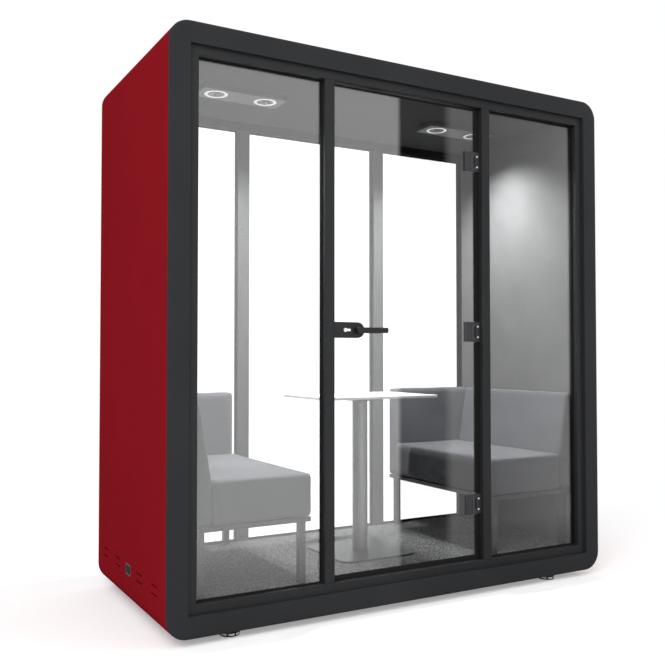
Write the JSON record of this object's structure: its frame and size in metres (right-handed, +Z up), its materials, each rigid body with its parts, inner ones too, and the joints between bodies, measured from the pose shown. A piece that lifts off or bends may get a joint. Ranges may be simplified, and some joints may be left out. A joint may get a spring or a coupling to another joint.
{
  "type": "acoustic office pod",
  "caption": "Glazed acoustic meeting pod with rounded red side panels, charcoal frames, facing benches, a pedestal table and a hinged glass door.",
  "frame": {"origin": "on the floor under the middle of the shell", "axes": "+Z up, the door faces -Y, +X to the right seen from the door"},
  "size_m": [2.2, 0.99, 2.33],
  "materials": {
    "charcoal_frame": "fine matt powder coat",
    "red_panel": "satin lacquer",
    "wall_felt": "pressed felt",
    "ceiling_felt": "pressed felt",
    "carpet": "speckled loop carpet",
    "clear_glass": "clear laminated glass",
    "bench_fabric": "close woven wool",
    "black_metal": "satin black",
    "unit_plastic": "satin plastic",
    "light_diffuser": "opal diffuser",
    "white_laminate": "satin white laminate",
    "column_steel": "brushed grey",
    "plate_metal": "dark satin",
    "hinge_metal": "dark anodised",
    "bright_steel": "satin nickel",
    "seal_rubber": "matt rubber",
    "inlet_plastic": "grey moulding",
    "fan_plastic": "black moulding",
    "foot_plastic": "black rubber and plastic with a bright band"
  },
  "bodies": {
    "pod": {"front_ring": "charcoal_frame", "rear_ring": "charcoal_frame", "front_frame": "charcoal_frame", "rear_frame": "charcoal_frame", "front_left_mullion": "charcoal_frame", "front_right_mullion": "charcoal_frame", "rear_left_mullion": "charcoal_frame", "rear_right_mullion": "charcoal_frame", "front_left_glass": "clear_glass", "front_right_glass": "clear_glass", "rear_left_glass": "clear_glass", "rear_centre_glass": "clear_glass", "rear_right_glass": "clear_glass", "left_side_panel": "red_panel", "right_side_panel": "red_panel", "left_acoustic_wall": "wall_felt", "right_acoustic_wall": "wall_felt", "roof_panel": "charcoal_frame", "ceiling_panel": "ceiling_felt", "floor_base": "charcoal_frame", "carpet": "carpet", "power_inlet": "inlet_plastic", "left_light_housing": "unit_plastic", "right_light_housing": "unit_plastic", "left_outer_ring_light": "light_diffuser", "left_inner_ring_light": "light_diffuser", "right_inner_ring_light": "light_diffuser", "right_outer_ring_light": "light_diffuser", "left_bench_frame": "black_metal", "left_bench_seat": "bench_fabric", "left_bench_back": "bench_fabric", "left_bench_arm": "bench_fabric", "right_bench_frame": "black_metal", "right_bench_seat": "bench_fabric", "right_bench_back": "bench_fabric", "right_bench_arm": "bench_fabric", "table_top": "white_laminate", "table_column": "column_steel", "table_base": "plate_metal", "lower_hinge_plate": "hinge_metal", "middle_hinge_plate": "hinge_metal", "upper_hinge_plate": "hinge_metal"},
    "door": {"door_glass": "clear_glass", "door_bottom_seal": "seal_rubber", "lower_hinge_clamp": "hinge_metal", "middle_hinge_clamp": "hinge_metal", "upper_hinge_clamp": "hinge_metal", "lock_case": "black_metal", "lock_cylinder": "bright_steel"},
    "lever": {"lever_handle": "black_metal"},
    "latch": {"latch_bolt": "bright_steel"},
    "key": {"key_plug": "bright_steel"},
    "left_outer_fan": {"left_outer_fan_rotor": "fan_plastic"},
    "left_inner_fan": {"left_inner_fan_rotor": "fan_plastic"},
    "right_inner_fan": {"right_inner_fan_rotor": "fan_plastic"},
    "right_outer_fan": {"right_outer_fan_rotor": "fan_plastic"},
    "left_front_foot": {"left_front_foot": "foot_plastic"},
    "right_front_foot": {"right_front_foot": "foot_plastic"},
    "left_rear_foot": {"left_rear_foot": "foot_plastic"},
    "right_rear_foot": {"right_rear_foot": "foot_plastic"}
  },
  "joints": [
    {"name": "door_swing", "type": "hinge", "parent": "pod", "child": "door", "pos_m": [0.352, -0.447, 1.18], "axis": [0, 0, 1], "range_deg": [0, 95]},
    {"name": "lever_turn", "type": "hinge", "parent": "door", "child": "lever", "pos_m": [-0.268, -0.447, 1.18], "axis": [0, 1, 0], "range_deg": [0, 40], "stiffness_Nm_per_rad": 1.2, "springref_deg": -20.05},
    {"name": "latch_slide", "type": "slide", "parent": "door", "child": "latch", "axis": [1, 0, 0], "range_m": [0, 0.004]},
    {"name": "key_turn", "type": "hinge", "parent": "door", "child": "key", "pos_m": [-0.328, -0.447, 1.18], "axis": [0, 1, 0], "range_deg": [0, 90]},
    {"name": "left_outer_fan_spin", "type": "hinge", "parent": "pod", "child": "left_outer_fan", "pos_m": [-0.722, 0, 2.24], "axis": [0, 0, 1], "continuous": true},
    {"name": "left_inner_fan_spin", "type": "hinge", "parent": "pod", "child": "left_inner_fan", "pos_m": [-0.484, 0, 2.24], "axis": [0, 0, 1], "continuous": true},
    {"name": "right_inner_fan_spin", "type": "hinge", "parent": "pod", "child": "right_inner_fan", "pos_m": [0.484, 0, 2.24], "axis": [0, 0, 1], "continuous": true},
    {"name": "right_outer_fan_spin", "type": "hinge", "parent": "pod", "child": "right_outer_fan", "pos_m": [0.722, 0, 2.24], "axis": [0, 0, 1], "continuous": true},
    {"name": "left_front_foot_turn", "type": "hinge", "parent": "pod", "child": "left_front_foot", "pos_m": [-0.821, -0.417, 0.03], "axis": [0, 0, 1], "continuous": true},
    {"name": "right_front_foot_turn", "type": "hinge", "parent": "pod", "child": "right_front_foot", "pos_m": [0.821, -0.417, 0.03], "axis": [0, 0, 1], "continuous": true},
    {"name": "left_rear_foot_turn", "type": "hinge", "parent": "pod", "child": "left_rear_foot", "pos_m": [-0.821, 0.417, 0.03], "axis": [0, 0, 1], "continuous": true},
    {"name": "right_rear_foot_turn", "type": "hinge", "parent": "pod", "child": "right_rear_foot", "pos_m": [0.821, 0.417, 0.03], "axis": [0, 0, 1], "continuous": true}
  ],
  "couplings": [
    {"joint": "latch_slide", "follows": "lever_turn", "m_per_rad": 0.0057}
  ]
}
